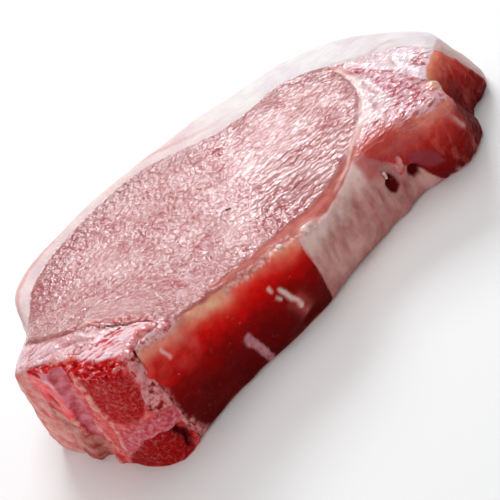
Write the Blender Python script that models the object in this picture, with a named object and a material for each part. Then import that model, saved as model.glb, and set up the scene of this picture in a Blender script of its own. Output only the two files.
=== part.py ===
"""Raw bone-in pork chop: one thick slice across the loin, lying on its lower cut face.

Blender 4.5, metres, +Z up. The origin is on the floor under the middle of the slice. +X runs from the
sawn backbone to the thin tail, +Y from the rib side to the fat along the back.
The slice is first one closed loaf, lofted between the outline of its upper cut face and the wider
outline that it stands on. Upright regions then part it into the muscles, the fat and the bone.
"""

import math

import bmesh
import bpy
import numpy as np

MM = 0.001

# Driving sizes, in millimetres.
SLAB_HEIGHT = 26.5  # the slice over most of its area
BONE_RISE = 11.5  # the backbone holds the slice up at its own corner
BONE_RISE_AT, BONE_RISE_REACH = (-61.0, -21.0), 30.0
CHINE_RISE, CHINE_RISE_X, CHINE_RISE_REACH = 4.5, -74.0, 42.0
WAIST_DIP = 4.5  # the rib side sinks where soft fat carries it
WAIST_AT, WAIST_REACH = (21.0, -19.0), 16.0
TAIL_DROP, TAIL_DROP_FROM, TAIL_DROP_TO = 4.0, 54.0, 88.0
EYE_DOME = 1.4  # the big muscle stands a little proud of its rim
EYE_DOME_AT, EYE_DOME_REACH = (0.0, 14.0), 38.0

SOFT_EDGE, SOFT_FOOT = 2.6, 1.4  # how far flesh rounds over at its upper edge and at its foot
BONE_EDGE, BONE_FOOT = 0.7, 0.5  # and the sawn bone
WALL_BULGE = 1.2  # how far the walls of flesh belly out at half height
PIECE_GAP = 0.3  # between neighbouring pieces

SPINE = ((-38.0, 6.0), (46.0, 14.0))  # the upper face closes in on this line
COLUMNS_PER_SPAN = 3
WALL_SHARES = (0.2, 0.36, 0.52, 0.68, 0.82)
TOP_RING_SHARES = (0.93, 0.84, 0.7, 0.54, 0.36, 0.18)
SEAM_STEP = 2.5
CUTTER_LEVELS = (-6.0, SLAB_HEIGHT / 2, SLAB_HEIGHT, 60.0)  # above the slab cutters stand upright

CANAL_RADIUS = 3.4  # the spinal canal, sawn open lengthwise
CANAL_TOP, CANAL_FOOT = (-66.7, -18.8), (-69.2, -9.6)

# Rim of the slice, counter-clockwise from the tip of the backbone's spine, in millimetres:
# (x, y) of the upper edge, then (x, y) of the foot below it.
RIM = (
    (-71.8, 3.8, -75.8, 9.2),  # tip of the spine
    (-69.4, -6.4, -72.0, -0.6),
    (-67.4, -14.8, -69.8, -6.6),  # sawn face of the backbone, left of the canal
    (-63.9, -21.0, -67.0, -12.0),  # and right of it
    (-61.0, -26.4, -64.4, -17.6),
    (-57.0, -30.2, -60.8, -24.6),  # corner of the vertebra
    (-51.2, -30.4, -54.6, -29.2),
    (-43.6, -27.2, -46.4, -27.4),  # rib side
    (-36.0, -25.0, -38.8, -26.0),
    (-29.0, -24.4, -31.2, -25.2),
    (-21.0, -23.5, -21.6, -24.8),
    (-13.5, -23.0, -12.2, -25.6),
    (-6.0, -23.2, -4.0, -25.2),
    (1.0, -24.2, 2.0, -24.9),
    (7.5, -23.8, 8.5, -23.2),  # start of the rib-side fat
    (14.5, -22.0, 16.0, -21.2),
    (21.0, -20.0, 24.0, -20.8),  # waist
    (29.0, -17.8, 31.5, -19.6),
    (37.0, -17.0, 39.5, -19.3),
    (46.0, -18.0, 50.0, -18.4),
    (53.0, -20.6, 57.0, -21.0),
    (60.0, -22.8, 65.0, -22.2),
    (66.0, -20.6, 74.6, -17.4),  # lobe of the tail muscle
    (67.0, -11.8, 81.0, -7.2),  # notch between the tail muscle and the cap
    (72.5, -7.6, 87.4, -4.6),
    (79.0, -2.6, 93.6, -2.0),
    (84.4, 3.3, 96.0, 5.4),  # corner of the fat
    (86.6, 13.4, 93.4, 17.6),
    (81.4, 24.4, 86.0, 28.0),
    (74.4, 34.0, 77.2, 36.8),
    (61.6, 42.0, 62.8, 44.4),
    (43.2, 47.6, 43.8, 49.8),
    (24.0, 51.8, 24.0, 53.8),
    (4.0, 53.6, 4.0, 55.4),
    (-15.4, 54.8, -15.4, 56.5),
    (-31.8, 51.5, -31.8, 53.2),
    (-45.2, 47.6, -46.2, 49.4),
    (-53.8, 42.0, -55.8, 43.4),
    (-57.3, 37.0, -60.2, 38.2),  # end of the fat
    (-59.0, 26.0, -62.2, 27.2),
    (-63.6, 14.8, -67.4, 17.6),
)
FIRST_BONE_COLUMN, LAST_BONE_COLUMN = 1, 6  # rows of RIM with a sawn, sharp edge

# Seams between the pieces, seen from above: (x, y), or (x, y) at the rim's height and then (x, y) on
# the floor where a seam leans. Each starts and ends at another seam or outside the slice.
LEAN_JUNCTION = (60.0, 25.5)
CAP_JUNCTION = (61.6, 19.0)
CHINE_JUNCTION = (-46.4, -17.2)
BACK_SEAM = (
    (-74.0, 20.0), (-57.8, 24.5), (-53.2, 32.0), (-47.5, 38.0), (-41.0, 41.6), (-29.0, 46.0),
    (-18.0, 48.4), (-7.0, 48.8), (1.0, 47.0), (9.0, 43.0), (16.0, 38.8), (24.0, 35.6),
    (34.0, 34.2), (44.0, 34.0), (53.0, 30.6), LEAN_JUNCTION,
)
CAP_SEAM = (
    LEAN_JUNCTION, (66.0, 18.8), (72.0, 15.6), (77.0, 12.4), (79.6, 6.0), (81.0, 0.6),
    (86.0, -1.8), (93.0, -2.4), (106.0, -3.0),
)
UNDER_CAP_START = (LEAN_JUNCTION, CAP_JUNCTION)
UNDER_CAP_SEAM = (
    CAP_JUNCTION, (64.2, 11.0), (66.2, 4.0), (68.0, -2.4), (68.6, -8.6), (73.0, -10.6),
    (81.0, -10.4), (106.0, -10.0),
)
EYE_SEAM = (
    LEAN_JUNCTION, (59.2, 19.0), (57.8, 11.0), (55.4, 4.6), (51.0, -1.0), (46.0, -5.0),
    (41.0, -8.0), (35.0, -11.6), (28.0, -14.4), (20.0, -16.0), (12.0, -17.4), (7.4, -20.2),
    (5.6, -34.0),
)
TAIL_SEAM = (  # the rib-side fat reaches further under the tail muscle than it shows on top
    CAP_JUNCTION, (60.6, 11.0), (58.4, 2.6, 59.4, 3.0), (55.6, -4.6, 58.4, -5.4),
    (50.0, -7.6, 57.4, -10.4), (44.4, -9.0, 56.4, -13.4), (39.4, -11.4, 55.8, -17.4),
    (36.0, -16.6, 56.2, -24.0), (34.6, -34.0, 58.0, -40.0),
)
CHINE_SEAM = (
    (-84.0, 17.0), (-66.6, 12.6, -67.8, 15.0), (-63.2, 5.0, -62.4, 8.0),
    (-58.8, -4.0, -57.4, -0.6), (-54.0, -9.8, -53.0, -7.6), (-50.0, -13.0, -49.4, -11.8),
    CHINE_JUNCTION,
)
BONE_BACK_SEAM = (  # the vertebra leans back under the slice, and this seam with it
    (-86.0, -1.0), (-70.0, -3.4, -69.6, -2.4), (-66.8, -8.4, -64.6, -2.4),
    (-63.4, -14.0, -61.2, -7.4), (-59.4, -18.0, -57.6, -12.6), (-53.6, -18.6, -52.6, -15.8),
    CHINE_JUNCTION,
)
BONE_FRONT_SEAM = (
    CHINE_JUNCTION, (-41.6, -18.6), (-38.6, -21.2), (-41.0, -23.4), (-45.0, -24.8),
    (-48.0, -27.2), (-49.6, -42.0),
)

FINISHES = {  # linear base colour and roughness
    "lean": ((0.51, 0.19, 0.21), 0.32),
    "dark_lean": ((0.48, 0.07, 0.05), 0.28),
    "fat": ((0.83, 0.68, 0.64), 0.36),
    "bone": ((0.31, 0.02, 0.025), 0.42),
}


def smooth_curve(points, per_span, closed):
    """Points on a smooth curve through the given ones, per_span for each stretch between two of them."""
    points = np.asarray(points, float)
    ahead = np.roll(points, -1, axis=0) - points
    if not closed:
        ahead[-1] = ahead[-2]
    behind = np.roll(ahead, 1, axis=0)
    if not closed:
        behind[0] = ahead[0]
    long_ahead = np.linalg.norm(ahead, axis=1)[:, None]
    long_behind = np.linalg.norm(behind, axis=1)[:, None]
    slope = ahead / long_ahead * long_behind + behind / long_behind * long_ahead
    slope /= long_ahead + long_behind
    made = []
    for i in range(len(points) if closed else len(points) - 1):
        after = (i + 1) % len(points)
        for step in range(per_span):
            t = step / per_span
            made.append(
                (2 * t**3 - 3 * t**2 + 1) * points[i]
                + (3 * t**2 - 2 * t**3) * points[after]
                + (t**3 - 2 * t**2 + t) * long_ahead[i] * slope[i]
                + (t**3 - t**2) * long_ahead[i] * slope[after]
            )
    if not closed:
        made.append(points[-1])
    return np.array(made)


def outward_of(ring):
    """Unit normals in plan, pointing out of a counter-clockwise ring."""
    along = np.roll(ring, -1, axis=0) - np.roll(ring, 1, axis=0)
    out = np.stack([along[:, 1], -along[:, 0]], axis=1)
    return out / np.linalg.norm(out, axis=1)[:, None]


def top_height(plan):
    """Height of the upper cut face over each plan point, in millimetres."""
    x, y = plan[:, 0], plan[:, 1]

    def mound(at, reach):
        return np.exp(-(((x - at[0]) ** 2 + (y - at[1]) ** 2) / reach**2))

    tail = np.clip((x - TAIL_DROP_FROM) / (TAIL_DROP_TO - TAIL_DROP_FROM), 0, 1)
    return (
        SLAB_HEIGHT
        + BONE_RISE * mound(BONE_RISE_AT, BONE_RISE_REACH)
        + CHINE_RISE * np.exp(-(((x - CHINE_RISE_X) / CHINE_RISE_REACH) ** 2))
        - WAIST_DIP * mound(WAIST_AT, WAIST_REACH)
        - TAIL_DROP * tail
        + EYE_DOME * mound(EYE_DOME_AT, EYE_DOME_REACH)
    )


def softness():
    """How soft each column is, in a column of its own: 0 on the sawn bone, 1 on the flesh."""
    column = np.arange(len(RIM) * COLUMNS_PER_SPAN) / COLUMNS_PER_SPAN
    into_flesh = np.maximum(FIRST_BONE_COLUMN - column, column - LAST_BONE_COLUMN)
    share = np.clip(into_flesh, 0, 1)
    return (share * share * (3 - 2 * share))[:, None]


def loaf_rings():
    """The slice's rings from the floor up and over its upper face, each one array of points."""
    rim = smooth_curve(RIM, COLUMNS_PER_SPAN, closed=True)
    top, foot = rim[:, :2], rim[:, 2:]
    rim_height = top_height(top)[:, None]
    soft = softness()
    edge = BONE_EDGE + (SOFT_EDGE - BONE_EDGE) * soft
    heel = BONE_FOOT + (SOFT_FOOT - BONE_FOOT) * soft
    bulge = WALL_BULGE * 4 * soft

    def ring(share, height, inset=0.0):
        """One ring of the wall, at a share of the way from foot to rim and drawn in by inset."""
        plan = foot + (top - foot) * share
        plan = plan + outward_of(plan) * (bulge * share * (1 - share) - inset)
        return np.column_stack([plan, height])

    rings = [ring(0, 0 * heel, heel), ring(0, 0.3 * heel, 0.3 * heel), ring(heel / rim_height, heel)]
    rings += [ring(share, share * rim_height) for share in WALL_SHARES]
    rings.append(ring(1 - edge / rim_height, rim_height - edge))
    rings.append(ring(1, rim_height - 0.3 * edge, 0.3 * edge))
    inner = ring(1, rim_height, edge)[:, :2]
    start, run = np.array(SPINE[0]), np.subtract(SPINE[1], SPINE[0])
    along = np.clip((inner - start) @ run / (run @ run), 0, 1)
    nearest = start + along[:, None] * run
    for share in (1, *TOP_RING_SHARES):
        plan = nearest + (inner - nearest) * share
        rings.append(np.column_stack([plan, top_height(plan)]))
    return rings


def loaf():
    """The whole slice as one closed mesh: rings joined by quads, a flat sole and a closing face."""
    form = bmesh.new()
    rows = [[form.verts.new(point * MM) for point in ring] for ring in loaf_rings()]
    columns = len(rows[0])
    for lower, upper in zip(rows, rows[1:]):
        for i in range(columns):
            j = (i + 1) % columns
            form.faces.new((lower[i], lower[j], upper[j], upper[i]))
    form.faces.new(rows[-1])
    form.faces.new(list(reversed(rows[0])))
    bmesh.ops.triangulate(form, faces=form.faces)
    mesh = bpy.data.meshes.new("loaf")
    form.to_mesh(mesh)
    form.free()
    return mesh


def upright(row):
    """A seam's row with its foot: the same place again, unless the row gives one."""
    return tuple(row) if len(row) == 4 else (*row, *row)


def seam_points(seam):
    """A seam as closely spaced rows on a smooth curve, each with its upper point and its foot."""
    rows = np.array([upright(row) for row in seam])
    length = np.linalg.norm(np.diff(rows[:, :2], axis=0), axis=1).mean()
    return smooth_curve(rows, max(1, round(length / SEAM_STEP)), closed=False)


def region_loop(*runs):
    """Seams and outer points joined end to end into one closed counter-clockwise loop of rows."""
    loop = np.concatenate([[upright(row) for row in run] for run in runs])
    loop = loop[np.linalg.norm(loop - np.roll(loop, 1, axis=0), axis=1) > 0.01]
    x, y = loop[:, 0], loop[:, 1]
    clockwise = np.sum(x * np.roll(y, -1) - np.roll(x, -1) * y) < 0
    return loop[::-1] if clockwise else loop


def drawn_in(loop):
    """A closed counter-clockwise outline in plan, drawn in by half of the gap between pieces."""
    ahead = np.roll(loop, -1, axis=0) - loop
    ahead /= np.linalg.norm(ahead, axis=1)[:, None]
    behind = np.roll(ahead, 1, axis=0)
    normal = np.stack([-(ahead + behind)[:, 1], (ahead + behind)[:, 0]], axis=1)
    normal /= np.linalg.norm(normal, axis=1)[:, None]
    side = np.stack([-ahead[:, 1], ahead[:, 0]], axis=1)
    lean = np.clip((normal * side).sum(axis=1), 0.35, 1)[:, None]
    return loop + normal / lean * PIECE_GAP / 2


def region_cutter(name, loop, collection):
    """A tall loft between a region's outline at the rim and its outline on the floor."""
    upper, foot = drawn_in(loop[:, :2]), drawn_in(loop[:, 2:])
    lean = (upper - foot) / SLAB_HEIGHT
    form = bmesh.new()
    rows = []
    for height in CUTTER_LEVELS:
        plan = foot + lean * min(height, SLAB_HEIGHT)
        rows.append([form.verts.new((x * MM, y * MM, height * MM)) for x, y in plan])
    columns = len(loop)
    for lower, above in zip(rows, rows[1:]):
        for i in range(columns):
            j = (i + 1) % columns
            if (above[j].co - lower[i].co).length < (above[i].co - lower[j].co).length:
                form.faces.new((lower[i], lower[j], above[j]))
                form.faces.new((lower[i], above[j], above[i]))
            else:
                form.faces.new((lower[i], lower[j], above[i]))
                form.faces.new((lower[j], above[j], above[i]))
    form.faces.new(rows[-1])
    form.faces.new(list(reversed(rows[0])))
    mesh = bpy.data.meshes.new(name)
    form.to_mesh(mesh)
    form.free()
    return as_cutter(name, mesh, collection)


def as_cutter(name, mesh, collection):
    """A mesh object that only cuts: not rendered, and drawn as wires."""
    cutter = bpy.data.objects.new(name, mesh)
    cutter.hide_render = True
    cutter.display_type = "WIRE"
    collection.objects.link(cutter)
    return cutter


def canal_cutter(collection):
    """A leaning rod along the spinal canal, which the saw has opened along its length."""
    top = np.array([*CANAL_TOP, SLAB_HEIGHT + BONE_RISE + CHINE_RISE])
    foot = np.array([*CANAL_FOOT, 0.0])
    run = top - foot
    length = np.linalg.norm(run)
    form = bmesh.new()
    bmesh.ops.create_cone(
        form, cap_ends=True, segments=24,
        radius1=CANAL_RADIUS * MM, radius2=CANAL_RADIUS * MM, depth=1.4 * length * MM,
    )
    mesh = bpy.data.meshes.new("canal")
    form.to_mesh(mesh)
    form.free()
    cutter = as_cutter("canal_cutter", mesh, collection)
    cutter.location = (top + foot) / 2 * MM
    tilt_x = -math.atan2(run[1], run[2])
    tilt_y = math.atan2(run[0], math.hypot(run[1], run[2]))
    cutter.rotation_euler = (tilt_x, tilt_y, 0)
    return cutter


def finish_of(name):
    """A wet Principled finish, one of FINISHES."""
    material = bpy.data.materials.get(name) or bpy.data.materials.new(name)
    colour, roughness = FINISHES[name]
    material.use_nodes = True
    shader = material.node_tree.nodes["Principled BSDF"]
    shader.inputs["Base Color"].default_value = (*colour, 1)
    shader.inputs["Roughness"].default_value = roughness
    material.diffuse_color = (*colour, 1)
    return material


def parted_piece(name, finish, whole, cutters, collection):
    """One piece of the slice: the loaf kept inside the first cutter, less any further ones."""
    piece = bpy.data.objects.new(name, whole.copy())
    piece.data.name = name
    piece.data.materials.clear()
    piece.data.materials.append(finish_of(finish))
    collection.objects.link(piece)
    for cutter in cutters:
        cut = piece.modifiers.new("within" if cutter is cutters[0] else "less", "BOOLEAN")
        cut.operation = "INTERSECT" if cutter is cutters[0] else "DIFFERENCE"
        cut.solver = "EXACT"
        cut.object = cutter
    return piece


def regions():
    """Plan outline of each piece, with its finish."""
    back, cap = seam_points(BACK_SEAM), seam_points(CAP_SEAM)
    under_start, under_cap = seam_points(UNDER_CAP_START), seam_points(UNDER_CAP_SEAM)
    eye, tail = seam_points(EYE_SEAM), seam_points(TAIL_SEAM)
    chine, bone_back = seam_points(CHINE_SEAM), seam_points(BONE_BACK_SEAM)
    bone_front = seam_points(BONE_FRONT_SEAM)
    behind = [(106, 80), (-96, 80)]
    return {
        "loin_eye": ("lean", region_loop(back, eye, [(5, -60), (-49, -60)], bone_front[::-1],
                                         chine[::-1])),
        "chine_muscle": ("lean", region_loop(chine, bone_back[::-1])),
        "fat_cap": ("fat", region_loop(back, cap, behind, [(-96, 20)])),
        "cap_muscle": ("dark_lean", region_loop(cap, under_cap[::-1], under_start[::-1])),
        "seam_fat": ("fat", region_loop(under_start, tail, eye[::-1])),
        "tail_muscle": ("dark_lean", region_loop(under_cap, [(106, -60), (46, -60)],
                                                 tail[::-1])),
        "chine_bone": ("bone", region_loop(bone_back, bone_front, [(-96, -42)])),
    }


def main():
    for thing in list(bpy.data.objects):
        bpy.data.objects.remove(thing)
    scene = bpy.context.scene.collection
    chop = bpy.data.collections.new("raw_pork_chop")
    cutters = bpy.data.collections.new("cutters")
    scene.children.link(chop)
    scene.children.link(cutters)

    whole = loaf()
    ends = np.array([vertex.co for vertex in whole.vertices])
    middle = (ends.min(axis=0) + ends.max(axis=0)) / 2
    canal = canal_cutter(cutters)
    made = [canal]
    for name, (finish, loop) in regions().items():
        keep = region_cutter(name + "_region", loop, cutters)
        made.append(keep)
        also = (canal,) if name in ("chine_bone", "chine_muscle") else ()
        made.append(parted_piece(name, finish, whole, (keep, *also), chop))
    for thing in made:
        thing.location.x -= middle[0]
        thing.location.y -= middle[1]
    for thing in chop.objects:
        if thing.type == "MESH":
            thing.data.shade_smooth()
            thing.data.set_sharp_from_angle(angle=math.radians(40))


main()
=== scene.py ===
# %% [markdown]
# # A raw pork chop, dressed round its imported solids
#
# The chop is one thick cross-cut slice through a pig's loin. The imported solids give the
# large forms: the round eye of the loin, the fat cap along its back, the small muscles at
# both ends and the sawn corner of the backbone. This lesson lays a skin over them, sculpts
# the wet cut surface in it, paints masks, and mixes the colours of raw meat in nodes.

# %% Load the frame
import math

import bmesh
import bpy
import numpy as np
from mathutils import Matrix, Vector
from mathutils.bvhtree import BVHTree


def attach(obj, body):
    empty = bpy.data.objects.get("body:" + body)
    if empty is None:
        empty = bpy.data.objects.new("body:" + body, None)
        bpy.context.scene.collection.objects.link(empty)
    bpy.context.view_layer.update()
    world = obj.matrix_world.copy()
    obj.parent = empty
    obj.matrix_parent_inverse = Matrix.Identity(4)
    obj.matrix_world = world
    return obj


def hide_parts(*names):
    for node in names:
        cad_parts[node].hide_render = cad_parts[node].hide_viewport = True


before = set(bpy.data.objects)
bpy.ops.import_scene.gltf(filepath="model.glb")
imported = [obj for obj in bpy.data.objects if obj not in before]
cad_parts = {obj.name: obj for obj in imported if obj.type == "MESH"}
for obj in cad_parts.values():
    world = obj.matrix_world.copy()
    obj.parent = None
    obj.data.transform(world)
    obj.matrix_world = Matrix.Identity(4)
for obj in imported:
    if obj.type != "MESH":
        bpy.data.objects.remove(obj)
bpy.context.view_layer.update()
MM = 0.001
print("solids:", ", ".join(sorted(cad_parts)))

# %% [markdown]
# ## One skin over the soft solids
#
# Lean and fat grow into each other, and light wanders through both, so they share one
# closed mesh. Each solid is swollen by a fraction of a millimetre, which closes the narrow
# gaps between them, and a voxel remesh then lays an even net of small quads over the whole.
# A few rounds of smoothing take out the facets of the solids. An even net is what a sculptor
# would ask for: every part of the surface can carry the same fine relief.

# %% A closed skin round solids
SOFT_NODES = ("loin_eye", "chine_muscle", "fat_cap", "cap_muscle", "seam_fat", "tail_muscle")


def fused(name, nodes, swell, voxel, rounds):
    """One closed object round the named solids, each swollen, all in millimetres."""
    whole = bmesh.new()
    for node in nodes:
        solid = bmesh.new()
        solid.from_mesh(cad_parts[node].data)
        bmesh.ops.remove_doubles(solid, verts=solid.verts, dist=0.001 * MM)
        solid.normal_update()
        for vertex in solid.verts:
            vertex.co += vertex.normal * swell * MM
        lump = bpy.data.meshes.new("lump")
        solid.to_mesh(lump)
        whole.from_mesh(lump)
        solid.free()
        bpy.data.meshes.remove(lump)
    mesh = bpy.data.meshes.new(name)
    whole.to_mesh(mesh)
    whole.free()
    piece = bpy.data.objects.new(name, mesh)
    bpy.context.scene.collection.objects.link(piece)
    net = piece.modifiers.new("even net", "REMESH")
    net.mode, net.voxel_size = "VOXEL", voxel * MM
    ease = piece.modifiers.new("ease facets", "SMOOTH")
    ease.factor, ease.iterations = 0.5, rounds
    settle(piece)
    return piece


def settle(piece):
    """Applies the modifiers of a piece."""
    graph = bpy.context.evaluated_depsgraph_get()
    piece.data = bpy.data.meshes.new_from_object(piece.evaluated_get(graph))
    piece.modifiers.clear()


def spots_of(piece):
    """The vertices of a piece in millimetres, and the outward direction at each."""
    flat = np.empty(len(piece.data.vertices) * 3, np.float32)
    piece.data.vertices.foreach_get("co", flat)
    spots = flat.reshape(-1, 3) / MM
    piece.data.vertex_normals.foreach_get("vector", flat)
    return spots.astype(np.float64), flat.reshape(-1, 3).astype(np.float64)


def move_to(piece, spots):
    """Puts the vertices of a piece at these spots, in millimetres."""
    piece.data.vertices.foreach_set("co", (spots * MM).astype(np.float32).ravel())
    piece.data.update()


flesh = fused("flesh", SOFT_NODES, 0.25, 0.55, 14)
print("flesh:", len(flesh.data.vertices), "vertices")

# %% [markdown]
# ## Noise for flesh
#
# Two kinds of noise do nearly all the work. Smooth gradient noise makes lumps and waves of a
# chosen size. Scattered-point noise gives, at each spot, the distance to the nearest and the
# second nearest of many loose points: it makes cells, crumbs and the cracks between them.
# Both are hashed from whole numbers, so each run gives the same surface.

# %% Gradient noise and scattered-point noise
def dice(cells, salt):
    """A repeatable random whole number for each lattice cell."""
    x, y, z = (cells[:, axis].astype(np.int64).astype(np.uint32) for axis in range(3))
    h = x * np.uint32(0x8DA6B343) ^ y * np.uint32(0xD8163841) ^ z * np.uint32(0xCB1AB31F)
    h ^= np.uint32((salt * 0x9E3779B1) & 0xFFFFFFFF)
    for shift, factor in ((15, 0x2C1B3C6D), (12, 0x297A2D39), (15, 0x1B56C4E9)):
        h ^= h >> np.uint32(shift)
        h *= np.uint32(factor)
    return h ^ (h >> np.uint32(16))


def three(h):
    """Three numbers from 0 to 1 out of one random whole number."""
    parts = [(h >> np.uint32(s)) & np.uint32(1023) for s in (0, 10, 20)]
    return np.stack(parts, axis=1) / 1023.0


def swell_noise(spots, size, salt):
    """Smooth noise from about -1 to 1, with lumps one size apart."""
    q = np.asarray(spots) / size
    cell = np.floor(q)
    f = q - cell
    ease = f * f * f * (f * (f * 6 - 15) + 10)
    total = np.zeros(len(q))
    for corner in np.ndindex(2, 2, 2):
        step = np.array(corner, float)
        slope = three(dice(cell + step, salt)) * 2 - 1
        weight = np.prod(np.where(step > 0, ease, 1 - ease), axis=1)
        total += weight * ((f - step) * slope).sum(axis=1)
    return total * 1.6


def pebble_noise(spots, size, salt):
    """Distances to the nearest and second nearest scattered point, in sizes."""
    q = np.asarray(spots) / size
    cell = np.floor(q)
    near = np.full(len(q), 9.0)
    second = near.copy()
    for step in np.ndindex(3, 3, 3):
        home = cell + np.array(step) - 1
        reach = np.linalg.norm(home + three(dice(home, salt)) - q, axis=1)
        second = np.minimum(second, np.maximum(near, reach))
        near = np.minimum(near, reach)
    return near, second


def ramp(values, low, high):
    """0 below low, 1 above high, and a soft step between them."""
    t = np.clip((values - low) / (high - low), 0, 1)
    return t * t * (3 - 2 * t)


probe = swell_noise(np.random.default_rng(1).uniform(0, 90, (2000, 3)), 9.0, 5)
print("noise runs from %.2f to %.2f" % (probe.min(), probe.max()))

# %% [markdown]
# ## Which muscle each spot belongs to
#
# The solids know where lean ends and fat begins. The distance from each spot of the skin to
# every solid gives a smooth seam line between them: it is where two distances are equal. A
# little noise bends the seams, because a cut through grown tissue is never a clean arc.

# %% Distance to each solid
spots, outward = spots_of(flesh)
bend = np.stack([swell_noise(spots, 3.2, 10 + axis) for axis in range(3)], axis=1)


def distance_to(node, where):
    """How far each spot lies from a solid, in millimetres, 0 on or in its surface."""
    tree = BVHTree.FromObject(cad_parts[node], bpy.context.evaluated_depsgraph_get())
    return np.array([tree.find_nearest(Vector(p * MM))[3] for p in where]) / MM


reach = np.stack([distance_to(node, spots + 0.35 * bend) for node in SOFT_NODES])
ordered = np.sort(reach, axis=0)
seam_reach = ordered[1] - ordered[0]


def share_of(node, soft=0.35):
    """1 on the skin of a solid, 0 on the others, soft across the seam."""
    k = SOFT_NODES.index(node)
    rest = np.delete(reach, k, axis=0).min(axis=0)
    return ramp(rest - reach[k], -soft, soft)


eye, chine, fat, cap, seam, tail = (share_of(node) for node in SOFT_NODES)
lean = np.clip(eye + chine + cap + tail, 0, 1)
top = ramp(outward[:, 2], 0.45, 0.8)
under = ramp(-outward[:, 2], 0.45, 0.8)
side = 1 - top - under
print("share of fat on the skin: %.2f" % fat.mean())

# %% [markdown]
# ## Strokes
#
# Most small forms on a cut of meat run along a line: a crease, a torn membrane, the rim of
# a hole. One helper measures how far each spot lies from a line of points and how far along
# that line it is. A crease or a ridge is then a soft profile across the line that fades at
# both ends. The same helper makes masks for paint. The spots are bent by noise first, so that
# no stroke looks drawn with a ruler.

# %% Distance to a line of points
def beside(line, where):
    """Distance of each spot from a line of points, and how far along it, from 0 to 1."""
    line = np.asarray(line, float)
    steps = np.linalg.norm(np.diff(line, axis=0), axis=1)
    whole = steps.sum()
    best, along, walked = np.full(len(where), 1e9), np.zeros(len(where)), 0.0
    for start, end, step in zip(line[:-1], line[1:], steps):
        t = np.clip((where - start) @ (end - start) / step**2, 0, 1)
        gap = np.linalg.norm(where - start - t[:, None] * (end - start), axis=1)
        closer = gap < best
        best[closer] = gap[closer]
        along[closer] = (walked + t[closer] * step) / whole
        walked += step
    return best, along


def stroke(line, width, where, fade=0.2):
    """A soft mask along a line: 1 on it, 0 beyond its width, faded at both ends."""
    gap, along = beside(line, where)
    ends = ramp(along, -0.01, fade) * ramp(1 - along, -0.01, fade)
    return np.exp(-((gap / width) ** 2)) * ends


def blob(centre, radii, where):
    """A soft mask round a point, with a radius along x, y and z."""
    q = (where - np.asarray(centre, float)) / np.asarray(radii, float)
    return np.exp(-(q**2).sum(axis=1))


def patch(outline, chart, soft=0.5):
    """1 inside a closed outline on a chart, 0 outside, with a soft edge."""
    outline = np.asarray(outline, float)
    inside = np.zeros(len(chart), bool)
    gap = np.full(len(chart), 1e9)
    for start, end in zip(outline, np.roll(outline, -1, axis=0)):
        t = np.clip((chart - start) @ (end - start) / ((end - start) ** 2).sum(), 0, 1)
        gap = np.minimum(gap, np.linalg.norm(chart - start - t[:, None] * (end - start), axis=1))
        if end[1] != start[1]:
            crossing = (start[1] > chart[:, 1]) != (end[1] > chart[:, 1])
            at = start[0] + (chart[:, 1] - start[1]) * (end[0] - start[0]) / (end[1] - start[1])
            inside ^= crossing & (chart[:, 0] < at)
    return ramp(np.where(inside, gap, -gap), -soft, soft)


loose = spots + 0.45 * bend
print("strokes follow spots bent by up to %.1f mm" % (0.45 * np.abs(bend).max()))

# %% [markdown]
# ## The cut face
#
# A knife leaves lean meat wet and slightly rough: the cut fibre bundles stand up as
# small beads between fine cracks. Towards the tail the bundles were cut at a slant, so they
# lie in long scales. The relief is noise in a stretched space, mixed from round beads to long
# scales across the face. It is kept off the smooth bevel along the rib side.

# %% Relief of the cut lean
ALONG = np.array([0.79, -0.61, 0.0])  # the way in which the slanted bundles lie
ACROSS = np.array([0.61, 0.79, 0.0])
BUNDLE_TURN = math.atan2(0.61, 0.79)
slant = ramp(spots @ ALONG + 0.4 * (spots @ ACROSS) + 6 * swell_noise(spots, 14, 30), -12, 26)


def stretched(where, length):
    """The spots in a space where forms come out longer along the bundles."""
    return np.stack([where @ ALONG / length, where @ ACROSS, where[:, 2]], axis=1)


beads = 0.6 * swell_noise(loose, 1.9, 31) + 0.4 * swell_noise(loose, 1.1, 32)
scales = 0.6 * swell_noise(stretched(loose, 2.2), 1.3, 33)
scales += 0.4 * swell_noise(stretched(loose, 1.6), 0.95, 34)
near, second = pebble_noise(stretched(loose + 0.5 * bend, 1.9), 4.2, 35)
cracks = ramp(0.16 - (second - near), 0, 0.16) * ramp(swell_noise(spots, 9, 36), -0.1, 0.4)
cut_relief = (1 - slant) * beads + slant * scales

BEVEL = [  # x, y, z and half the width of the smooth band along the rib side
    (-30.0, -33.0, 29.5, 0.8), (-22.0, -33.5, 28.4, 1.2), (-13.0, -34.0, 27.0, 1.7),
    (-5.0, -34.0, 25.5, 2.3), (2.0, -32.5, 24.0, 2.8), (10.0, -30.5, 22.8, 2.6),
    (17.0, -28.5, 23.2, 2.0), (23.0, -27.0, 24.6, 1.5), (28.0, -25.5, 25.6, 0.7),
]
line = np.array(BEVEL)
gap, along = beside(line[:, :3], loose)
half = np.interp(along, np.linspace(0, 1, len(line)), line[:, 3])
RIM = [  # the rim of the rib side, from the backbone to the far end
    (-66, -43.6, 40), (-56, -41.2, 36), (-47, -38.8, 32.5), (-40, -37.1, 31), (-34, -36.6, 29.3),
    (-29, -36.1, 28.3), (-25, -35.4, 27.8), (-17, -35.8, 26.7), (-11, -35.4, 26.5),
    (-2, -36.1, 24.3), (3, -35, 23.5), (12, -32, 22.5), (20, -29.5, 22.8), (27, -27, 25),
    (32, -26.4, 26), (37, -27.6, 26.2), (41, -32.4, 25), (50.5, -35.3, 24.5), (54.5, -35, 23.7),
    (57.5, -31.5, 23), (59, -25, 23.3), (60.5, -21, 24), (66.5, -16.3, 23), (69.5, -14.6, 22.2),
    (74.5, -10, 21.5), (80, -5, 20),
]
along_x = loose[:, 0]
rim = np.array(RIM, float).T
beyond = np.interp(along_x, rim[0], rim[1]) - loose[:, 1]
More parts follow.
